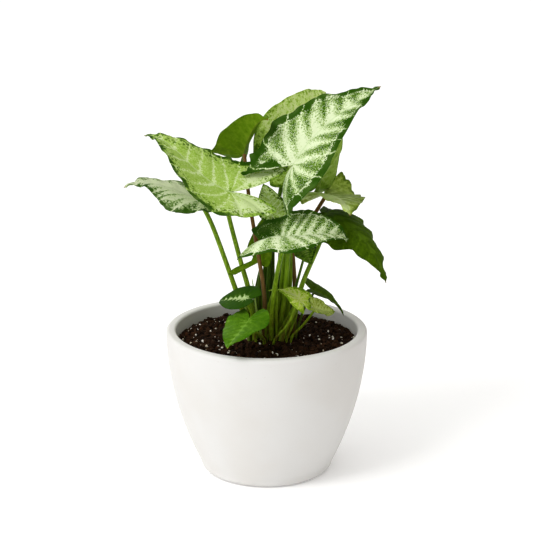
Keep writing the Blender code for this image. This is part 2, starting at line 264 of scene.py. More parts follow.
def spun(name, outline):
    """Extrudes one point along an outline in the XZ plane and spins it round Z."""
    piece = primitive(name, bpy.ops.mesh.primitive_plane_add, size=MM)
    bpy.ops.object.mode_set(mode="EDIT")
    bpy.ops.mesh.merge(type="CENTER")
    bpy.ops.transform.translate(value=(outline[0][0] * MM, 0, outline[0][1] * MM))
    for before, after in zip(outline, outline[1:]):
        move = ((after[0] - before[0]) * MM, 0, (after[1] - before[1]) * MM)
        bpy.ops.mesh.extrude_vertices_move(TRANSFORM_OT_translate={"value": move})
    bpy.ops.mesh.select_all(action="SELECT")
    bpy.ops.mesh.spin(steps=SPIN_STEPS, angle=2 * pi, center=(0, 0, 0), axis=(0, 0, 1))
    close_up(40, merge=0.02)
    return piece


pot = spun("white_pot", pot_outline())
print("pot faces:", len(pot.data.polygons))

# %% [markdown]
# A matte glaze is never one flat white. It is faintly warmer and cooler in large soft clouds, it has
# pinholes and fine dust of clay specks, and it scatters light softly. Two noises carry that: a wide
# one for the colour and a fine one for the touch of the surface.

# %% Matte white glaze
GLAZE_WARM = (0.69, 0.675, 0.65)
GLAZE_COOL = (0.71, 0.703, 0.687)
GLAZE_SPECK = (0.60, 0.57, 0.53)


def matte_glaze():
    made, shader, place = new_material("matte white glaze")
    clouds = ease(grain(place, 60, 3), 0.35, 0.65)
    specks = ease(grain(place, 1.6, 1), 0.74, 0.80, 0.0, 0.45)
    coat(shader, {
        "Base Color": blend(specks, blend(clouds, GLAZE_WARM, GLAZE_COOL), GLAZE_SPECK),
        "Roughness": ease(grain(place, 18, 4), 0.3, 0.7, 0.50, 0.62),
        "Specular IOR Level": 0.35,
        "Normal": relief(0.10, 0.4, grain(place, 2.4, 5)),
    })
    return made


pot.data.materials.append(matte_glaze())
settle(pot, "white_ceramic", "pot")

# %% [markdown]
# ## The arrowhead blades
# An arrowhead leaf is a thin blade with a drip tip, two lobes swept back past the stalk, and a fold
# along the midrib. It could be sculpted, or grown from curves. Here each blade is a grid whose rows
# run from the midrib to the margin, bent along its own midrib by a few angles, because that keeps
# the rows lined up with the veins and lets the finish follow them.

# %% Flat outline of half a blade
MIDRIB_STATIONS = 40
HALF_OUTLINE = (
    (1.0, 0.0), (0.955, 0.045), (0.88, 0.14), (0.76, 0.32), (0.60, 0.56), (0.42, 0.78), (0.24, 0.94),
    (0.06, 1.0), (-0.30, 0.93), (-0.62, 0.76), (-0.88, 0.54), (-1.0, 0.36), (-0.93, 0.25),
)
WEDGE_TIP = (0, 0.055, 0.09, 0.08, 0.03, *[0] * 8)
SHARP_LOBE = (*[0] * 8, -0.07, -0.16, -0.17, -0.07, 0)


def outline_of(blade, number):
    """The shared outline with this blade's own tip, lobe and bulges, as (along, across) pairs."""
    flat = np.array(HALF_OUTLINE)
    flat[:, 1] += blade.get("wedge", 0.6) * np.array(WEDGE_TIP)
    flat[:, 1] += blade.get("sharp", (0, 0))[number] * np.array(SHARP_LOBE)
    return flat


def turned(first, second, degrees):
    """The two unit vectors turned in their own plane, the first towards the second."""
    angle = radians(degrees)
    return cos(angle) * first + sin(angle) * second, cos(angle) * second - sin(angle) * first


def midrib_of(blade):
    """Points of the midrib from notch to tip, with the along, left and up directions at each."""
    heading, pitch, roll = blade["turn"]
    arch, droop, sweep, twist = blade["bend"]
    heading, pitch = radians(heading), radians(pitch)
    along = np.array([cos(pitch) * cos(heading), cos(pitch) * sin(heading), sin(pitch)])
    left = np.array([-sin(heading), cos(heading), 0.0])
    up = np.cross(along, left)
    left, up = turned(left, up, roll)
    point = np.array(blade["at"], float)
    points = [point]
    frames = [(along, left, up)]
    for station in range(MIDRIB_STATIONS):
        reach = (station + 0.5) / MIDRIB_STATIONS
        along, up = turned(along, up, -(arch + 3 * reach**2 * droop) / MIDRIB_STATIONS)
        along, left = turned(along, left, sweep / MIDRIB_STATIONS)
        left, up = turned(left, up, twist / MIDRIB_STATIONS)
        point = point + along * blade["length"] / MIDRIB_STATIONS
        points.append(point)
        frames.append((along, left, up))
    return np.array(points), np.array(frames)


# %% [markdown]
# The veins of an arrowhead leaf are what the eye reads first. Side veins leave the midrib at about 60
# degrees and bow towards the tip. Behind the notch they fan out into the lobes. Each place on the
# blade gets a vein number, which is whole on a vein and halfway in the middle of a cell, and its
# distance to the edge. Both are kept as UV maps, so that the relief and the finish agree.

# %% Vein number and distance to the edge
VEIN_SPACING = 0.165
VEIN_LEAN = 0.55
VEIN_BOW = 0.9
FAN_STEP = radians(37)
NOTCH_RIM = 0.09


def vein_number(along, across):
    """Whole numbers lie on side veins: 0 leaves the notch, 1 and up the midrib, -1 and down the fan."""
    bowed = along - VEIN_LEAN * across - VEIN_BOW * across**2
    angle = np.arctan2(across, along)
    first = np.arctan2(1.0, VEIN_LEAN + VEIN_BOW * across)
    return np.where(bowed >= 0, bowed / VEIN_SPACING, -(angle - first) / FAN_STEP)


def edge_distance(along, across, outline):
    """The distance from each place of a half blade to a line of its outline, in blade lengths."""
    places = np.stack([along.ravel(), across.ravel()], 1)[:, None, :]
    first, last = outline[:-1][None], outline[1:][None]
    run = last - first
    share = ((places - first) * run).sum(2) / np.maximum((run**2).sum(2), 1e-12)
    nearest = first + np.clip(share, 0, 1)[..., None] * run
    return np.sqrt(((places - nearest) ** 2).sum(2)).min(1).reshape(along.shape)


def margin_distance(along, across):
    """The distance to the outer margin, or to the notch's edge, where the dark rim thins out."""
    outer = edge_distance(along, across, np.stack([along[:, -1], across[:, -1]], 1))
    inner = edge_distance(along, across, np.stack([along[-1], across[-1]], 1))
    reach = np.hypot(along, across) / np.hypot(along[-1, -1], across[-1, -1])
    return np.minimum(outer, inner + NOTCH_RIM * np.clip(1 - reach, 0, 1))


# %% [markdown]
# A living margin is never a clean curve. It ripples up and down, and where it ripples it also bulges.
# The cells between the veins stand proud like a quilt. Both are added to the grid's own points,
# across the surface, fading out where the blade meets its midrib.

# %% A half blade in space
def half_blade(blade, side, rows, columns):
    """What the grid needs of one half, tip to lobe by midrib to margin: points, then the numbers."""
    number = 0 if side > 0 else 1
    half, fold, curl, lobe, drop, spread = blade["right" if number else "left"]
    flat = smooth_points(outline_of(blade, number), rows + 1)
    margin_along = flat[:, 0] * np.where(flat[:, 0] < 0, lobe, 1.0)
    margin_across = flat[:, 1] * half + spread * np.clip(-margin_along, 0, None)
    round_edge = np.linspace(0, 1, rows + 1)
    waves, wave_start = blade.get("waves", (7, 0.0))
    turn = 2 * pi * (waves * round_edge + wave_start + 0.37 * number)
    wave = np.sin(turn)
    ragged = 0.7 * np.sin(1.9 * turn + 1.3) + 0.4 * np.sin(3.3 * turn + 2.1)
    calm = np.clip(round_edge / 0.12, 0, 1) * np.clip((1 - round_edge) / 0.10, 0, 1)
    swell = blade.get("bulge", 0.03) * calm * (0.7 * wave + 0.6 * ragged)
    for where, height, width in blade.get("bumps", ((), ()))[number]:
        swell = swell + height * np.exp(-(((round_edge - where) / width) ** 2))
    margin_across = margin_across * (1 + swell)

    inner_along = np.clip((margin_along - 0.10) / 0.90, 0, 1)
    outward = np.linspace(0, 1, columns + 1)[None, :]
    along = inner_along[:, None] + (margin_along - inner_along)[:, None] * outward
    across = margin_across[:, None] * outward
    closing = np.clip((round_edge - 0.70) / 0.30, 0, 1)[:, None] ** 1.5
    across = across - blade.get("sinus", (0.05, 0.05))[number] * closing * np.sin(pi * outward) ** 0.9

    fan = (outward < 0.5 / columns) & (inner_along[:, None] == 0)
    veins = vein_number(
        np.where(fan, 0.01 * margin_along[:, None], along),
        np.maximum(np.where(fan, 0.01 * margin_across[:, None], across), 0),
    )
    edge = margin_distance(along, across)
    edge = edge / blade.get("rim", (1, 1))[number]
    tone = blade.get("tone", (0, 0))[number] + blade.get("tip_tone", 0) * np.clip(along, 0, 1) ** 2
    # A lobe's shift of tone: its own colour, and on the north blade painted shade.
    tone = tone + blade.get("lobe_tone_and_shade", (0, 0))[number] * np.clip(-along / 0.2, 0, 1)

    points, frames = midrib_of(blade)
    place = np.clip(along, 0, 1) * MIDRIB_STATIONS
    index = np.minimum(place.astype(int), MIDRIB_STATIONS - 1)
    part = (place - index)[..., None]
    on_rib = points[index] * (1 - part) + points[index + 1] * part
    axes = frames[index] * (1 - part[..., None]) + frames[index + 1] * part[..., None]
    forward, left, up = axes[..., 0, :], axes[..., 1, :], axes[..., 2, :]

    behind = np.clip(-along, 0, None)
    lobe_angle = (radians(drop) * behind / 0.8)[..., None]
    lobe_way = np.cos(lobe_angle) * forward + np.sin(lobe_angle) * up
    on_rib = on_rib - blade["length"] * behind[..., None] * lobe_way
    rise = np.radians(fold + curl * across / half / 2)[..., None]
    side_way = side * np.cos(rise) * left + np.sin(rise) * up
    above = np.cos(rise) * up - side * np.sin(rise) * left
    surface = on_rib + blade["length"] * across[..., None] * side_way

    ripple = blade.get("ripple", 1.0) * outward**3 * (calm * (wave + 0.5 * ragged))[:, None]
    from_vein = np.abs(veins - np.round(veins))
    quilt = blade.get("quilt", 0.5) * (np.sin(pi * from_vein) ** 0.8) * np.sin(pi * outward) ** 0.7
    surface = surface + (ripple + quilt)[..., None] * above
    return surface, veins, edge, np.broadcast_to(outward, along.shape), across, tone


# %% [markdown]
# The blade starts as a grid primitive. Its points are moved to where the half blades say, the four
# numbers go into two UV maps, the notch is welded, and a Solidify modifier gives it the thickness of
# a leaf, with the underside in a material slot of its own.

# %% Making a blade
BLADE_THICKNESS = 0.45


def make_blade(name, blade, columns, rows):
    piece = square_grid(f"blade_{name}", 2 * columns, rows)
    mesh = piece.data
    halves = {side: half_blade(blade, side, rows, columns) for side in (1, -1)}
    corners = np.empty(len(mesh.vertices) * 3)
    mesh.vertices.foreach_get("co", corners)
    corners = corners.reshape(-1, 3)
    row = np.rint((1 - corners[:, 1]) / 2 * rows).astype(int)
    column = np.rint(corners[:, 0] * columns).astype(int)
    on_right = column > 0
    column = np.abs(column)

    def both(part):
        left_value, right_value = halves[1][part][row, column], halves[-1][part][row, column]
        mask = on_right.reshape(-1, *(1,) * (left_value.ndim - 1))
        return np.where(mask, right_value, left_value)

    mesh.vertices.foreach_set("co", (both(0) * MM).ravel())
    loops = np.empty(len(mesh.loops), int)
    mesh.loops.foreach_get("vertex_index", loops)
    for title, first, second in (("veins", both(1), both(3)), ("edge", both(2), both(4))):
        layer = mesh.uv_layers.new(name=title)
        layer.data.foreach_set("uv", np.stack([first, second], 1)[loops].ravel())
    for spare in [layer for layer in mesh.uv_layers if layer.name not in ("veins", "edge")]:
        mesh.uv_layers.remove(spare)
    mesh.attributes.new("tone", "FLOAT", "POINT").data.foreach_set("value", both(5))
    mesh.update()

    bpy.ops.object.mode_set(mode="EDIT")
    bpy.ops.mesh.select_all(action="SELECT")
    bpy.ops.mesh.remove_doubles(threshold=0.01 * MM)
    bpy.ops.object.mode_set(mode="OBJECT")
    thicken(piece, BLADE_THICKNESS, 60, underside=1)
    return piece


# %% [markdown]
# ## The variegated finish
# The white of this plant is not painted on: cells along the veins have lost their green. So the pale
# colour follows the veins, wide along the midrib and narrow near the edge, and breaks up into flecks.
# The recipe keeps one number for each place: low on the veins, where the blade is pale, and high in the
# green. Flecks, a fine net of small veins, a broken collecting vein and the dark rim each push that
# number up or down, and a colour ramp turns it into a colour, so that they all blend as on the leaf.

# %% Recipe for the blades
VEIN_IN_RIM = 0.12
BROWNED_TIP = (0.30, 0.15, 0.03)


def leaf_colour(place, look):
    """The colour of a blade: one number, low on the veins and high in the green, picks it."""
    tree = place.id_data
    veins = add("SeparateXYZ", add("UVMap", tree=tree, uv_map="veins"))
    outward = veins.node.outputs[1]
    edges = add("SeparateXYZ", add("UVMap", tree=tree, uv_map="edge"))
    across = edges.node.outputs[1]
    tone = add("Attribute", tree=tree, output=2, attribute_name="tone")

    broad = maths("SUBTRACT", grain(place, 11, 2), 0.5)
    fleck = maths("SUBTRACT", grain(place, look["fleck"], 3, 0.6), 0.5)
    tiny = maths("SUBTRACT", grain(place, look["fleck"] * 0.42, 2, 0.6), 0.5)

    bent = maths("MULTIPLY_ADD", broad, 0.5, veins)
    from_vein = maths("PINGPONG", bent, 0.5)
    fade = add("MapRange", outward, look["reach"][0], look["reach"][1], 1.0, 0.0)
    reach = maths("MULTIPLY_ADD", maths("POWER", fade, 1.7), look["heart"], look["vein"])
    number = maths("MINIMUM", maths("SUBTRACT", from_vein, reach), look["plateau"])

    rim = ease(veins, -1.5, 5.0, look["rim"] * 1.3, look["rim"] * 0.45)
    inside = maths("SUBTRACT", edges, rim)
    inside = maths("MULTIPLY_ADD", fleck, 0.10, inside)
    inside = maths("MULTIPLY_ADD", broad, 0.13, inside)
    push = ease(inside, -0.016, 0.018, look["rim_push"], 0.0)
    crossed = ease(from_vein, 0.015, 0.075, VEIN_IN_RIM, 1.0)
    number = maths("MULTIPLY_ADD", push, crossed, number)
    collecting = maths("ABSOLUTE", maths("SUBTRACT", inside, 0.012))
    collecting = ease(collecting, 0.002, 0.010, look["collecting"], 0.0)
    collecting = maths("MULTIPLY", collecting, ease(broad, -0.10, 0.05, 0.1, 1.0))
    number = maths("SUBTRACT", number, collecting)

    number = maths("MULTIPLY_ADD", fleck, look["speckle"], number)
    number = maths("MULTIPLY_ADD", tiny, look["speckle"] * 0.9, number)
    dotted = ease(edges, 0.03, 0.16, look["dots"], 0.0)
    number = maths("MULTIPLY_ADD", dotted, ease(fleck, 0.03, 0.10), number)
    net = add("TexVoronoi", place, None, 1 / (look["net_size"] * MM), feature="DISTANCE_TO_EDGE")
    net = maths("MULTIPLY", ease(net, 0.01, 0.09, look["net"], 0.0), ease(fleck, -0.08, 0.1))
    number = maths("SUBTRACT", number, net)
    picked = maths("ADD", maths("ADD", number, tone), 0.5)
    clouds = ease(broad, -0.15, 0.2, 0.0, look["clouds"])
    colour = blend(clouds, ramp(picked, look["stops"], look["greens"]), look["greens"][1])
    rib = ease(maths("ABSOLUTE", across), 0.004, 0.012, look["midrib"], 0.0)
    colour = blend(rib, colour, look["midrib_colour"])
    return blend(ease(veins, 5.80, 6.02, 0.0, 0.7), colour, BROWNED_TIP)


def leaf_finish(name, look, underside=False):
    """A blade's material: its colour, a soft shine, and some light let through from behind."""
    made, shader, place = new_material(name + (" underside" if underside else ""))
    colour = leaf_colour(place, look)
    if underside:
        colour = blend(look["under_share"], colour, look["under"])
    pores = maths("MULTIPLY_ADD", grain(place, 0.9, 2), 0.6, grain(place, 3.5, 3))
    coat(shader, {
        "Base Color": colour,
        "Roughness": ease(grain(place, 5, 3), 0.3, 0.7, look["rough"] - 0.05, look["rough"] + 0.07),
        "Specular IOR Level": UNDERSIDE_SHINE if underside else look["shine"],
        "Specular Tint": LEAF_SHINE,
        "IOR": LEAF_IOR,
        "Normal": relief(0.22, 0.5, pores),
    })
    lit = blend(0.35, colour, look["glow"])
    both = add("MixShader", GLOW_SHARE, shader.outputs[0], add("BsdfTranslucent", lit))
    wire([made.node_tree.nodes["Material Output"].inputs["Surface"]], [both])
    return made


# %% [markdown]
# The looks are described once and shared. White veined blades have a wide pale heart and a solid
# rim, pale blades are washed over with dark flecks near the edge, and plain ones keep only a hint of
# their veins. "greens" are the colours from the veins out to the cells, "reach", "heart" and "vein"
# say how wide the pale part is, and sizes of flecks and nets are in millimetres.

# %% Looks of the blades
GLOW_SHARE = 0.22
LEAF_SHINE = (0.85, 1.0, 0.40, 1)
UNDERSIDE_SHINE = 0.05
LEAF_IOR = 1.3
PLAIN_LEAF = dict(
    heart=0.45, vein=0.06, rim=0.012, rim_push=0.3, collecting=0.05, speckle=1.3, net=0.1, net_size=3,
    clouds=0.25, midrib=0.6, under_share=0.5, shine=0.2, dots=0)
LOOKS = {}
LOOKS["white veined"] = PLAIN_LEAF | dict(
    slot="variegated_leaf",
    greens=((0.84, 0.91, 0.66), (0.42, 0.58, 0.17), (0.14, 0.28, 0.022), (0.03, 0.1, 0.003)),
    midrib_colour=(0.6, 0.74, 0.4), under=(0.2, 0.36, 0.06), glow=(0.3, 0.5, 0.04), reach=(0, 0.95),
    heart=0.47, vein=0.065, rim=0.055, rim_push=0.75, collecting=0.6, fleck=1.5, net=0.75, net_size=2,
    clouds=0.12, stops=(0.41, 0.55, 0.69, 0.88), midrib=0.4, under_share=0.55, rough=0.46, shine=0.08,
    plateau=0.3, dots=0.2)
LOOKS["pale"] = PLAIN_LEAF | dict(
    slot="pale_leaf",
    greens=((0.76, 0.87, 0.5), (0.49, 0.66, 0.16), (0.3, 0.5, 0.05), (0.035, 0.11, 0.004)),
    midrib_colour=(0.62, 0.75, 0.38), under=(0.3, 0.44, 0.14), glow=(0.34, 0.52, 0.05), reach=(0, 0.85),
    heart=0.1, vein=0.065, rim=0.03, rim_push=0.5, collecting=0.12, speckle=0.7, fleck=2,
    stops=(0.38, 0.5, 0.76, 0.95), under_share=0.6, rough=0.42, plateau=0.09, dots=0.7)
LOOKS["grey pale"] = PLAIN_LEAF | dict(
    slot="pale_leaf",
    greens=((0.66, 0.71, 0.5), (0.46, 0.56, 0.28), (0.22, 0.36, 0.09), (0.04, 0.11, 0.006)),
    midrib_colour=(0.62, 0.7, 0.44), under=(0.24, 0.36, 0.12), glow=(0.3, 0.45, 0.06), reach=(0.2, 0.95),
    heart=0.55, vein=0.12, rim=0.02, rim_push=0.5, collecting=0.1, fleck=2, net=0.15, net_size=3.4,
    clouds=0.15, stops=(0.42, 0.56, 0.66, 0.78), midrib=0.3, under_share=0.6, rough=0.45, plateau=0.3,
    dots=0.35)
LOOKS["light green"] = PLAIN_LEAF | dict(
    slot="light_green_leaf",
    greens=((0.8, 0.9, 0.44), (0.6, 0.78, 0.2), (0.36, 0.55, 0.06), (0.075, 0.18, 0.006)),
    midrib_colour=(0.44, 0.58, 0.2), under=(0.26, 0.42, 0.06), glow=(0.3, 0.48, 0.03), reach=(0.05, 0.9),
    rim=0.014, rim_push=0.4, speckle=1.1, fleck=3, net=0.06, net_size=4.5, clouds=0.3,
    stops=(0.3, 0.52, 0.78, 1), midrib=0.5, under_share=0.6, rough=0.38, plateau=0.09, dots=0.25)
LOOKS["mid green"] = PLAIN_LEAF | dict(
    slot="dark_green_leaf",
    greens=((0.44, 0.58, 0.16), (0.33, 0.49, 0.07), (0.21, 0.36, 0.03), (0.035, 0.11, 0.003)),
    midrib_colour=(0.26, 0.38, 0.1), under=(0.13, 0.24, 0.03), glow=(0.24, 0.4, 0.02), reach=(0.02, 0.5),
    heart=0.4, vein=0.04, speckle=0.8, fleck=4.5, net_size=4.5, stops=(0.36, 0.54, 0.76, 1), rough=0.5,
    shine=0.08, plateau=0.12)
LOOKS["olive pale"] = PLAIN_LEAF | dict(
    slot="pale_leaf",
    greens=((0.7, 0.82, 0.38), (0.49, 0.61, 0.15), (0.26, 0.37, 0.04), (0.1, 0.17, 0.01)),
    midrib_colour=(0.5, 0.6, 0.28), under=(0.2, 0.3, 0.05), glow=(0.32, 0.46, 0.04), reach=(0.02, 0.95),
    heart=0.4, rim_push=0.25, speckle=0.7, fleck=6, net=0.08, net_size=4, stops=(0.36, 0.54, 0.8, 1),
    midrib=0.4, rough=0.42, plateau=0.08, dots=0.12)
LOOKS["leaf green"] = PLAIN_LEAF | dict(
    slot="dark_green_leaf",
    greens=((0.22, 0.34, 0.02), (0.15, 0.27, 0.008), (0.1, 0.2, 0.004), (0.05, 0.12, 0.002)),
    midrib_colour=(0.16, 0.2, 0.02), under=(0.14, 0.24, 0.01), glow=(0.26, 0.38, 0.004),
    reach=(0.02, 0.4), heart=0.3, vein=0.03, rim=0.01, rim_push=0.25, speckle=0.6, fleck=6, net=0.06,
    net_size=5, stops=(0.36, 0.54, 0.74, 1), rough=0.55, shine=0.03, plateau=0.05)
# The lime blade is a yellow-green young leaf; its greens are raised brighter still, as painted light.
LOOKS["lime"] = PLAIN_LEAF | dict(
    slot="light_green_leaf",
    greens=((0.9, 0.97, 0.4), (0.8, 0.94, 0.16), (0.56, 0.82, 0.03), (0.2, 0.38, 0.012)),
    midrib_colour=(0.62, 0.74, 0.28), under=(0.5, 0.66, 0.08), glow=(0.7, 0.86, 0.06), reach=(0.05, 0.8),
    vein=0.08, rim=0.05, rim_push=0.4, collecting=0.1, fleck=1.8, net=0.3, net_size=2.6, clouds=0.3,
    stops=(0.4, 0.54, 0.72, 1), midrib=0.5, rough=0.38, plateau=0.16, dots=0.25)
LOOKS["dark green"] = PLAIN_LEAF | dict(
    slot="dark_green_leaf",
    greens=((0.13, 0.235, 0.01), (0.088, 0.165, 0.004), (0.06, 0.122, 0.003), (0.024, 0.062, 0.0015)),
    midrib_colour=(0.1, 0.18, 0.012), under=(0.06, 0.12, 0.01), glow=(0.14, 0.26, 0.005),
    reach=(0.02, 0.35), heart=0.35, vein=0.02, rim_push=0.25, speckle=0.7, fleck=4.5, net=0.08,
    net_size=5, clouds=0.2, stops=(0.36, 0.52, 0.74, 1), rough=0.5, shine=0.05, plateau=0.12)
LOOKS["splashed"] = PLAIN_LEAF | dict(
    slot="splashed_leaf",
    greens=((0.56, 0.7, 0.34), (0.15, 0.28, 0.03), (0.06, 0.15, 0.006), (0.03, 0.095, 0.004)),
    midrib_colour=(0.46, 0.6, 0.26), under=(0.1, 0.21, 0.03), glow=(0.2, 0.38, 0.02), reach=(0, 0.62),
    heart=1, vein=-0.22, rim=0.03, collecting=0, speckle=1.2, fleck=2.8, net=0, clouds=0.1,
    stops=(0.3, 0.4, 0.48, 0.64), midrib=0.5, rough=0.4, shine=0.05, plateau=0.4)
LOOKS["bright green"] = PLAIN_LEAF | dict(
    slot="light_green_leaf",
    greens=((0.24, 0.44, 0.05), (0.135, 0.29, 0.014), (0.085, 0.215, 0.007), (0.055, 0.19, 0.004)),
    midrib_colour=(0.26, 0.46, 0.07), under=(0.14, 0.3, 0.03), glow=(0.2, 0.38, 0.01), reach=(0.02, 0.5),
    heart=0.4, vein=0.05, rim_push=0.2, speckle=0.8, fleck=4, net_size=4, clouds=0.2,
    stops=(0.36, 0.54, 0.76, 1), rough=0.36, shine=0.12, plateau=0.1)
LOOKS["olive"] = PLAIN_LEAF | dict(
    slot="olive_leaf",
    greens=((0.62, 0.72, 0.24), (0.5, 0.6, 0.11), (0.34, 0.45, 0.05), (0.06, 0.13, 0.006)),
    midrib_colour=(0.38, 0.46, 0.14), under=(0.18, 0.27, 0.04), glow=(0.3, 0.42, 0.02),
    reach=(0.05, 0.75), rim=0.02, speckle=1.2, fleck=2.2, clouds=0.2, stops=(0.4, 0.54, 0.74, 1),
    midrib=0.5, rough=0.4, plateau=0.15, dots=0.2)
print("looks:", ", ".join(LOOKS))

# %% [markdown]
# ## Each blade
# "at" is the notch where the stalk meets the blade, in millimetres. "turn" holds heading, pitch and
# roll: heading 0 points along +X and 90 along +Y, pitch lifts the midrib and roll lifts the left side.
# "bend" holds arch, droop, sweep and twist: arch bends the midrib down, droop mostly its outer half,
# sweep turns it left and twist screws it. "left" and "right" hold the half width, fold and curl of
# each half, and its lobe's length, drop and spread. Lengths are shares of the blade's length.

# %% The upper blades
BLADES = {}
BLADES["crown"] = dict(
    at=(21, -19, 261), turn=(15, 60, 7), length=94, bend=(51, -22, -4, -3),
    left=(0.41, 38, -19, 0.31, -52, 0.56), right=(0.39, 9, -46, 0.45, 42, -0.11), look="white veined",
    waves=(6, 0.1), ripple=1.3, bulge=0.04, quilt=0.7, wedge=0.5, sharp=(1, 0.7), sinus=(-0.07, 0.11),
    rim=(1.05, 0.75), tip_tone=0.2, tone=(0.05, 0.05), lobe_tone_and_shade=(0.05, 0.12))
BLADES["west"] = dict(
    at=(-29, -19, 239), turn=(171, 18, -8), length=86, bend=(-67, 90, -25, 22),
    left=(0.4, -15, 10, 0.47, 6, -0.32), right=(0.41, 36, -24, 0.47, -39, 0.31), look="pale",
    waves=(9, 0.3), ripple=0.9, bulge=0.018, quilt=0.6, lobe_tone_and_shade=(-0.32, -0.26), sinus=(0.04, 0))
BLADES["low_west"] = dict(
    at=(-51, 0, 226), turn=(142, 11, 42), length=72, bend=(6, 52, 33, -16),
    left=(0.48, -10, -69, 0.3, 12, 0.05), right=(0.41, 34, -18, 0.35, 6, 0.1), look="grey pale",
    waves=(6, 0.5), ripple=1.2, bulge=0.04, quilt=0.8, tone=(-0.06, -0.02))
BLADES["north_west"] = dict(
    at=(-19, 23, 260), turn=(-74, 47, 21), length=64, bend=(-4, 49, 10, -22),
    left=(0.41, 30, 19, 0.38, 6, 0), right=(0.37, 55, -14, 0.43, -60, 0.31), look="leaf green",
    waves=(3, 0.2), ripple=0.8, bulge=0.02)
# The north blade's left lobe is made darker: painted shade where the blades in front shade it.
BLADES["north"] = dict(
    at=(15.4, 50, 259), turn=(33, 41, 64), length=84, bend=(45, 24, -5, 0),
    left=(0.41, 24, -6, 0.31, 8, 0.05), right=(0.4, 14, -8, 0.38, 14, 0), look="light green",
    waves=(5, 0.4), tone=(-0.16, 0), lobe_tone_and_shade=(0.45, 0))
print("upper blades:", len(BLADES))

# %% The middle blades
BLADES["north_east"] = dict(
    at=(44, 18, 242), turn=(-46, 79, -16), length=65, bend=(41, 11, -13, -5),
    left=(0.37, 13, 28, 0.44, -57, -0.12), right=(0.4, 15, -8, 0.2, 12, 0), look="mid green",
    waves=(4, 0), ripple=0.8, bulge=0.02)
BLADES["east"] = dict(
    at=(48, 21, 227), turn=(-72, 12, -22), length=68, bend=(11, 28, 4, -4),
    left=(0.43, 19, -10, 0.46, -66, 0.22), right=(0.39, -4, -30, 0.39, 45, 0), look="olive pale",
    waves=(6, 0.6), ripple=1.2, tone=(0.22, -0.15), tip_tone=-0.1)
BLADES["low_east"] = dict(
    at=(49, 15, 213), turn=(-60, 5, 24), length=87, bend=(85, 7, 10, -28),
    left=(0.38, -17, -49, 0.22, -10, -0.1), right=(0.335, 15, -60, 0.14, 50, -0.2), look="dark green",
    waves=(6, 0.7), ripple=1.3, quilt=0.7,
    bumps=((), ((0.26, -0.08, 0.03), (0.345, -0.12, 0.018), (0.395, 0.2, 0.035))))
BLADES["front"] = dict(
    at=(12, -33, 202), turn=(-15, 10, -1), length=59, bend=(-15, 105, 29, 50),
    left=(0.51, 36, -8, 0.44, -21, -0.06), right=(0.49, 61, -123, 0.61, 28, 0.25), look="white veined",
    waves=(6, 0.8), ripple=0.7, bulge=0.02, wedge=0.2, sharp=(0, 0.3), sinus=(0.07, -0.05),
    rim=(0.85, 0.35), tone=(0.12, -0.06), lobe_tone_and_shade=(0.45, -0.1))
BLADES["back"] = dict(
    at=(-5, -1, 177), turn=(85, 60, -30), length=38, bend=(5, 5, 0, 0),
    left=(0.34, 40, -1, 0.467, -58, 0.7), right=(0.3, 10, -10, 0.16, 0, 0.3), look="leaf green",
    waves=(4, 0.2), ripple=0.5, bulge=0, quilt=0.3, sharp=(-2, 0), wedge=1, sinus=(-0.087, 0.05),
    bumps=(((0.582, -0.498, 0.06), (0.811, -0.073, 0.06)), ()))
BLADES["inner"] = dict(
    at=(4, 11, 214), turn=(100, 30, -3), length=36, bend=(3, 2, 4, 0), left=(0.32, 16, -8, 0.35, 2, 0.13),
    right=(0.37, 17, -6, 0.38, 1, 0.15), look="pale", waves=(4, 0.1), ripple=0.5, bulge=0.02, quilt=0.3,
    tone=(-0.08, -0.08), slot="light_green_leaf")
print("blades so far:", len(BLADES))

# %% The low young blades
BLADES["under"] = dict(
    at=(31, -12, 189), turn=(-84, -4, 21), length=23, bend=(20, 4, 2, 4),
    left=(0.4, 9, -11, 0.38, 9, 0.05), right=(0.41, 9, -12, 0.38, 8, 0.05), look="mid green",
    waves=(4, 0.3), ripple=0.4, bulge=0.02, quilt=0.3, tone=(0.25, 0.25), slot="olive_leaf")
BLADES["splash"] = dict(
    at=(-17, -30, 154), turn=(138, -12, -33), length=35, bend=(9, 16, -5, -6),
    left=(0.42, 17, -12, 0.36, 0, 0), right=(0.42, 13, -29, 0.38, 13, 0), look="splashed", waves=(3, 0.6),
    ripple=0.3, bulge=0.01, quilt=0.3, tip_tone=0.35)
BLADES["round"] = dict(
    at=(-15, -52, 142), turn=(-112, -15, 12), length=43, bend=(-13, 15, 2, 5),
    left=(0.41, 8, -36, 0.41, -5, 0.05), right=(0.42, 14, -15, 0.38, -7, 0.22), look="bright green",
    waves=(3, 0.9), ripple=0.9, quilt=0.35, tone=(0.15, 0.1))
BLADES["lime"] = dict(
    at=(26, -20, 150), turn=(147, 37, 0), length=29, bend=(62, -5, 4, 32),
    left=(0.4, 3, -9, 0.41, 26, 0.1), right=(0.43, 9, 26, 0.41, 24, -0.05), look="lime", waves=(4, 0.2),
    ripple=0.4, quilt=0.4)
BLADES["olive"] = dict(
    at=(39, -25, 144), turn=(46, -25, 40), length=25, bend=(-10, 0, 8, 5),
    left=(0.41, 23, -3, 0.38, -12, 0.1), right=(0.41, 21, 10, 0.38, 23, 0), look="olive", waves=(4, 0.5),
    ripple=0.4, quilt=0.3)
BLADES["dark"] = dict(
    at=(39, 11, 148), turn=(32, -29, 13), length=37, bend=(12, 22, -22, 0),
    left=(0.4, 28, -28, 0.34, -19, 0), right=(0.41, 7, -2, 0.33, 29, 0.13), look="dark green",
    waves=(4, 0.7), ripple=0.4, bulge=0.02, quilt=0.4)
LARGE_BLADE = 60
FINE_GRID = (16, 96)
COARSE_GRID = (10, 48)

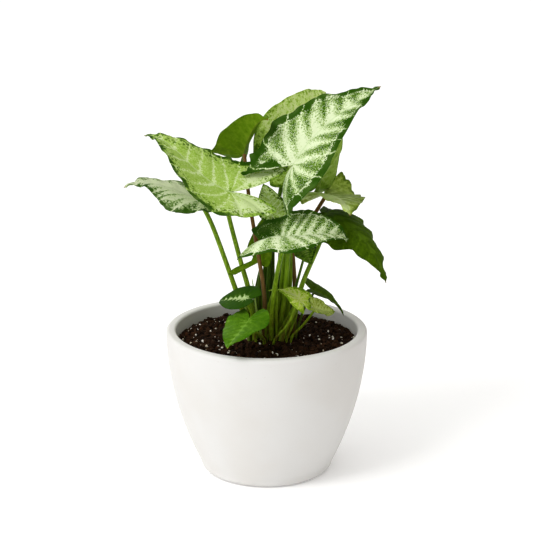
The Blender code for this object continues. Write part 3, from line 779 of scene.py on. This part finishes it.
finishes = {}
for look_name, look in LOOKS.items():
    finishes[look_name] = (leaf_finish(look_name, look), leaf_finish(look_name, look, underside=True))
for blade_name, blade in BLADES.items():
    leaf = make_blade(blade_name, blade, *(FINE_GRID if blade["length"] > LARGE_BLADE else COARSE_GRID))
    for side_finish in finishes[blade["look"]]:
        leaf.data.materials.append(side_finish)
    settle(leaf, blade.get("slot", LOOKS[blade["look"]]["slot"]), f"leaf_{blade_name}")
print("blades made:", len(BLADES))

# %% [markdown]
# ## The stalks
# Every blade stands on its own stalk, round and juicy, thick at the soil and thin at the blade. A
# curve with a bevel makes a tube, and a radius at each point gives the taper. The line through the
# points is smooth, because a living stalk has no corner. Each row gives the root's place, the points
# on the way, and the radius at the soil and at the blade, in millimetres. A sprout's row gives its
# end before its one radius.

# %% Routes of the stalks
SOIL_TOP = 110.5
ROOTING_DEPTH = 14.0
STALKS = {
    "low_west": ((-13, 3), ((-28, 1, 160), (-43, 0, 204)), 2.7, 1.8),
    "west": ((-10, -5), ((-14, -3, 149), (-22, 1, 179), (-31, -12, 221)), 2.7, 1.8),
    "north_west": ((-2, -3), ((-2, -8, 150), (-7, -7, 185), (-14, 8, 225)), 2.3, 1.5),
    "back": ((-7, 5), ((-7, 2, 145),), 2.2, 1.3),
    "inner": ((8, 15), ((12, 17, 150), (12, 17, 186)), 2.2, 1.3),
    "crown": ((9, 3), ((14, 1, 140), (17, -3, 179), (19, -8, 225)), 3, 1.9),
    "front": ((4, -6), ((4, -15, 139), (8, -26, 172)), 2.6, 1.8),
    "north": ((-1, 8), ((1, 11, 149), (4, 22, 188), (12, 42, 229)), 2.5, 1.7),
    "north_east": ((15, 11), ((17, 11, 155), (18, 8, 190), (20, 1, 224), (28, 4, 241)), 2.4, 1.6),
    "east": ((21, 8), ((23, 9, 150), (22, 10, 192), (35.5, 7, 209.5)), 2.3, 1.6),
    "low_east": ((12, -8), ((21, -6, 132), (30, 0, 160), (43, 6, 190)), 2.8, 1.8),
    "under": ((17, 5), ((23, 1, 150), (28, -5, 173)), 1.7, 1),
    "splash": ((-9, -13), ((-12, -21, 137),), 1.7, 1.1),
    "round": ((-2, -14), ((-8, -32, 126),), 1.8, 1.2),
    "lime": ((6, -14), ((18, -19, 130),), 1.6, 1),
    "olive": ((20, -7), ((30, -14, 127),), 1.5, 1),
    "dark": ((24, 1), ((31, 7, 134),), 1.5, 1),
}
BROWN_STALKS = ("north_west", "east")
SPROUTS = {
    "sprout": ((-4, -9), ((-8, -10, 135), (-10, -10, 152)), (-12, -10, 165), 1.5),
    "sheath": ((-15, -8), ((-17, -9, 135),), (-19, -9, 157), 1.4),
}


def tube(name, points, radii):
    """A closed round tube through the points, with its own radius at each, as a mesh."""
    piece = primitive(name, bpy.ops.curve.primitive_nurbs_path_add)
    piece.location = (0, 0, 0)
    curve = piece.data
    curve.splines.clear()
    line = curve.splines.new("POLY")
    line.points.add(len(points) - 1)
    for place, point, radius in zip(line.points, points, radii):
        place.co = (*(np.array(point) * MM), 1)
        place.radius = radius
    curve.bevel_depth = MM
    curve.bevel_resolution = 4
    curve.resolution_u = 1
    curve.use_fill_caps = True
    select_only(piece)
    bpy.ops.object.convert(target="MESH")
    bpy.ops.object.mode_set(mode="EDIT")
    close_up(50)
    return bpy.context.object


def route(root, via, end, steps):
    """A smooth line from under the soil, through the points of `via`, to the end."""
    points = [(*root, SOIL_TOP - ROOTING_DEPTH), (*root, SOIL_TOP + 2), *via, end]
    line = smooth_points(points, steps * len(points))
    return line, 1 - np.linspace(0, 1, len(line))


def stalk_line(name):
    """The line of a stalk to just under its blade, and its radii."""
    root, via, thick, thin = STALKS[name]
    points, frames = midrib_of(BLADES[name])
    line, left = route(root, via, points[1] - frames[1][2] * (0.5 * thin + 0.2), 12)
    return line, thin + (thick - thin) * left**2


def sprout_line(name):
    """The line of a rolled young leaf, thinning to a point, and its radii."""
    *places, thick = SPROUTS[name]
    line, left = route(*places, 10)
    return line, 0.2 + (thick - 0.2) * left**0.8


# %% [markdown]
# A stalk is paler and more yellow near the soil, and greener higher up. Its
# skin has fine lines along its length. Stretching the noise along Z draws them, because the stalks
# stand nearly upright. Stalks that stand in shade get a darker copy of the finish, as painted shade.

# %% Finish of the stalks
HUSK_BROWN = (0.115, 0.060, 0.014)
HUSK_FROM = 110
HUSK_TO = 150
GREEN_FROM = 205
# These stalks and their sheaths take the darker copy of the finish: painted shade.
PAINTED_SHADE_STALKS = ("inner", "north", "back", "under", "dark")


def stalk_finish(name, foot, top, streak):
    made, shader, place = new_material(name)
    height = add("SeparateXYZ", place, output=2)
    colour = blend(ease(height, HUSK_FROM * MM, GREEN_FROM * MM), foot, top)
    lines = add("Mapping", place, None, None, (1.0, 1.0, 0.06))
    colour = blend(ease(grain(lines, 0.9, 3), 0.42, 0.66, 0.0, 0.75), colour, streak)
    colour = blend(ease(grain(place, 7, 3), 0.45, 0.7, 0.0, 0.35), colour, foot)
    low = ease(height, HUSK_FROM * MM, HUSK_TO * MM, 1.0, 0.0)
    husk = maths("MULTIPLY", low, ease(grain(lines, 2.4, 3), 0.42, 0.60, 0.0, 0.8))
    coat(shader, {
        "Base Color": blend(husk, colour, HUSK_BROWN),
        "Roughness": 0.36,
        "Specular IOR Level": 0.25,
        "Specular Tint": LEAF_SHINE,
        "Normal": relief(0.25, 0.4, grain(lines, 0.8, 3)),
    })
    return made


green_stalk = stalk_finish("green stalk", (0.19, 0.30, 0.008), (0.10, 0.20, 0.006), (0.30, 0.47, 0.03))
# A darker copy of the green stalk: painted shade for stalks that stand in shade.
painted_shade_stalk = stalk_finish("stalk with painted shade", (0.050, 0.11, 0.004), (0.045, 0.10, 0.004), (0.10, 0.19, 0.012))
brown_stalk = stalk_finish("brown stalk", (0.14, 0.09, 0.02), (0.14, 0.058, 0.016), (0.24, 0.13, 0.05))
sheath_skin = stalk_finish("sheath skin", (0.34, 0.48, 0.10), (0.42, 0.58, 0.16), (0.22, 0.40, 0.05))

for stalk_name in STALKS:
    brown = stalk_name in BROWN_STALKS
    piece = tube(f"petiole_{stalk_name}", *stalk_line(stalk_name))
    # Stalks in shade take the copy with painted shade.
    green_or_painted_shade = painted_shade_stalk if stalk_name in PAINTED_SHADE_STALKS else green_stalk
    piece.data.materials.append(brown_stalk if brown else green_or_painted_shade)
    settle(piece, "brown_stalk" if brown else "green_stalk", f"stalk_{stalk_name}")
for sprout_name in SPROUTS:
    piece = tube(f"young_{sprout_name}", *sprout_line(sprout_name))
    piece.data.materials.append(sheath_skin)
    settle(piece, "green_stalk" if sprout_name == "sprout" else "pale_sheath", sprout_name)
print("stalks made:", len(STALKS) + len(SPROUTS))

# %% [markdown]
# The foot of each real stalk is a sheath: a gutter with thin winged edges that once wrapped the next
# leaf. A sheath could be cut from the stalk itself. Here it is a grid rolled into a gutter round the
# foot, wide and flaring below, and closing into the stalk at its top. Each row below gives its height
# over the soil in millimetres, the way it opens in degrees, and the flare of its wings.

# %% Winged sheaths at the feet
SHEATHS = {
    "low_west": (40, -120, 2.2), "west": (36, -70, 2.6), "north_west": (34, -100, 2.0),
    "crown": (100, -80, 2.6), "front": (52, -110, 2.6), "north": (95, -80, 3.0),
    "north_east": (46, -60, 2.8), "low_east": (32, -95, 2.4), "east": (34, -40, 2.0),
    "inner": (90, -90, 2.8), "back": (60, -90, 2.4),
}
SHEATH_ROWS = 28
SHEATH_COLUMNS = 16
SHEATH_THICKNESS = 0.5


def make_sheath(name, height, way, flare):
    """A gutter round a stalk's foot, up to a height, opening in a direction, with flared wings."""
    line, radii = stalk_line(name)
    climb = np.linspace(SOIL_TOP - 6, SOIL_TOP + height, SHEATH_ROWS + 1)
    centre = np.stack([np.interp(climb, line[:, 2], line[:, axis]) for axis in range(3)], 1)
    radius = np.interp(climb, line[:, 2], radii)
    piece = square_grid(f"sheath_of_{name}", SHEATH_COLUMNS, SHEATH_ROWS)
    for corner in piece.data.vertices:
        row = round((corner.co.y + 1) / 2 * SHEATH_ROWS)
        share = row / SHEATH_ROWS
        spread = 30 + 85 * (1 - share) ** 0.6
        angle = radians(way + 180 + corner.co.x * spread)
        wing = abs(corner.co.x) ** 5 * flare * sin(pi * min(1, 0.25 + 0.75 * share)) ** 0.8
        away = radius[row] + 0.35 + 0.5 * (1 - share) + wing
        corner.co = centre[row] * MM + np.array([cos(angle), sin(angle), 0]) * away * MM
    thicken(piece, SHEATH_THICKNESS, 50)
    return piece


for sheath_name, sheath in SHEATHS.items():
    piece = make_sheath(sheath_name, *sheath)
    # Sheaths of the stalks in shade take the copy with painted shade.
    piece.data.materials.append(painted_shade_stalk if sheath_name in PAINTED_SHADE_STALKS else green_stalk)
    settle(piece, "green_stalk")
print("sheaths made:", len(SHEATHS))

# %% [markdown]
# ## The potting mix
# Potting mix is dark bark and peat in loose crumbs, with white perlite. The ground is a grid pushed
# into a disc and roughened with noise. The crumbs are one small rock shape, repeated with random
# sizes and turns, so each has only a few faces.

# %% The ground
SOIL_RADIUS = 74.0
SOIL_DEPTH = 12.0
GROUND_CELLS = 150
ROUGHNESS_OF_GROUND = 1.5


def ground_height(x, y):
    """The height of the soil in millimetres: a low mound with lumps of two sizes."""
    reach = (x * x + y * y) / SOIL_RADIUS**2
    place = Vector((x, y, 0))
    lumps = noise.noise(place * 0.16) * 1.3 + noise.noise(place * 0.45) * 0.9
    return SOIL_TOP - 1.0 - 1.2 * reach + ROUGHNESS_OF_GROUND * lumps * 0.6


def make_ground():
    piece = square_grid("potting_mix", GROUND_CELLS, GROUND_CELLS)
    for corner in piece.data.vertices:
        u, v = corner.co.x, corner.co.y
        x = u * (1 - v * v / 2) ** 0.5 * SOIL_RADIUS
        y = v * (1 - u * u / 2) ** 0.5 * SOIL_RADIUS
        corner.co = (x * MM, y * MM, ground_height(x, y) * MM)
    bpy.ops.object.mode_set(mode="EDIT")
    bpy.ops.mesh.select_all(action="SELECT")
    bpy.ops.mesh.region_to_loop()
    bpy.ops.mesh.extrude_region_move(TRANSFORM_OT_translate={"value": (0, 0, -SOIL_DEPTH * MM)})
    bpy.ops.mesh.edge_face_add()
    close_up(50)
    return piece


ground = make_ground()
print("ground faces:", len(ground.data.polygons))

# %% Crumbs and perlite
CRUMBS = 2600
PERLITE = 420


def scattered(name, count, sizes, seed, sink, squash):
    """One small rock repeated over the soil with random places, turns and sizes, as one mesh."""
    random = np.random.default_rng(seed)
    rock = primitive(name, bpy.ops.mesh.primitive_ico_sphere_add, subdivisions=1, radius=1)
    corners = np.array([corner.co[:] for corner in rock.data.vertices])
    faces = np.array([list(face.vertices) for face in rock.data.polygons])
    every_corner, every_face = [], []
    for number in range(count):
        radius = sizes[0] + (sizes[1] - sizes[0]) * random.random() ** 2.2
        away = (SOIL_RADIUS - radius) * random.random() ** 0.5
        angle = 2 * pi * random.random()
        x, y = away * cos(angle), away * sin(angle)
        lumpy = corners * (1 + 0.55 * (random.random((len(corners), 1)) - 0.5))
        lumpy = lumpy * (1, 0.6 + 0.4 * random.random(), squash)
        turn = np.linalg.qr(random.normal(size=(3, 3)))[0]
        turn *= np.sign(np.linalg.det(turn))
        middle = np.array([x, y, ground_height(x, y) + radius * sink])
        every_corner.append(((lumpy @ turn.T) * radius + middle) * MM)
        every_face.append(faces + number * len(corners))
    mesh = rock.data
    mesh.clear_geometry()
    mesh.from_pydata(np.vstack(every_corner), [], np.vstack(every_face))
    mesh.update()
    return rock


crumbs = scattered("soil_crumbs", CRUMBS, (0.7, 3.3), 11, 0.35, 0.75)
perlite = scattered("perlite_grains", PERLITE, (0.40, 1.4), 23, 1.0, 0.85)
print("crumb faces:", len(crumbs.data.polygons), "perlite faces:", len(perlite.data.polygons))

# %% [markdown]
# Wet bark is nearly black, dry bark is a warm brown, and small fibres catch the light. A cell noise
# gives each crumb its own tone. Perlite is chalky and very rough.

# %% Finish of the potting mix
def soil_finish():
    made, shader, place = new_material("potting mix")
    clods = add("TexVoronoi", place, None, 1 / (3.2 * MM), feature="F1", output=1)
    colour = blend(add("SeparateColor", clods), (0.006, 0.0025, 0.001), (0.050, 0.022, 0.009))
    rust = ease(grain(place, 7, 4), 0.58, 0.70, 0.0, 0.6)
    fibres = ease(grain(place, 1.1, 3), 0.64, 0.72, 0.0, 0.5)
    coat(shader, {
        "Base Color": blend(fibres, blend(rust, colour, (0.085, 0.030, 0.010)), (0.12, 0.065, 0.03)),
        "Roughness": 0.85,
        "Specular IOR Level": 0.08,
        "Normal": relief(0.9, 1.2, grain(place, 1.4, 6, 0.7)),
    })
    return made


def perlite_finish():
    made, shader, place = new_material("perlite")
    clouds = ease(grain(place, 4, 3), 0.35, 0.65)
    coat(shader, {
        "Base Color": blend(clouds, (0.62, 0.54, 0.40), (0.93, 0.90, 0.82)),
        "Roughness": 0.9,
        "Normal": relief(0.6, 0.5, grain(place, 0.7, 4)),
    })
    return made


mix_finish = soil_finish()
ground.data.materials.append(mix_finish)
crumbs.data.materials.append(mix_finish)
perlite.data.materials.append(perlite_finish())
settle(ground, "potting_mix", "soil")
settle(crumbs, "potting_mix")
settle(perlite, "potting_mix")

# %% [markdown]
# ## Floor and light
# The studio is a plain pale floor under a soft white sky. The sky is brighter on the left, as by a wide
# window, and a little brighter overhead. The floor glows faintly, so that it stays white under the pot,
# and one soft box to the upper left gives the leaves their highlights.

# %% Floor and light
FLOOR_SIZE = 14.0
SKY_LEFT = 1.06
SKY_RIGHT = 0.46
SKY_TOP = 0.28
SKY_WARM = (1.0, 0.97, 0.93)
KEY = dict(place=(-1.3, -1.2, 1.9), size=0.8, power=20)
LIT_POINT = Vector((0, 0, 0.18))
FLOOR_GLOW = 0.13
DISPLAY_GAMMA = 0.9


def pale_floor():
    made, shader, place = new_material("pale floor")
    tone = ease(grain(place, 900, 2), 0.3, 0.7)
    coat(shader, {
        "Base Color": blend(tone, (0.95, 0.95, 0.95), (0.97, 0.97, 0.97)),
        "Roughness": 0.9,
        "Emission Color": (1, 1, 1, 1),
        "Emission Strength": FLOOR_GLOW,
    })
    return made


def soft_box(name, light):
    data = bpy.data.lights.new(name, "AREA")
    data.shape = "SQUARE"
    data.size = light["size"]
    data.energy = light["power"]
    lamp = bpy.data.objects.new(name, data)
    lamp.location = light["place"]
    lamp.rotation_euler = (LIT_POINT - lamp.location).to_track_quat("-Z", "Y").to_euler()
    bpy.context.scene.collection.objects.link(lamp)


floor = primitive("studio_floor", bpy.ops.mesh.primitive_plane_add, size=FLOOR_SIZE)
floor.data.materials.append(pale_floor())
soft_box("key light", KEY)
world = bpy.data.worlds.new("studio sky")
world.use_nodes = True
sky = world.node_tree
direction = add("SeparateXYZ", add("TexCoord", tree=sky))
strength = ease(direction, -0.9, 0.9, SKY_LEFT, SKY_RIGHT)
overhead = ease(direction.node.outputs[2], 0.25, 1.0, 0.0, SKY_TOP)
strength = maths("ADD", strength, overhead)
warmth = ease(direction, -0.5, 0.9)
coat(sky.nodes["Background"], {"Color": blend(warmth, (1, 1, 1), SKY_WARM), "Strength": strength})
bpy.context.scene.world = world
bpy.context.scene.view_settings.view_transform = "Standard"
bpy.context.scene.view_settings.gamma = DISPLAY_GAMMA
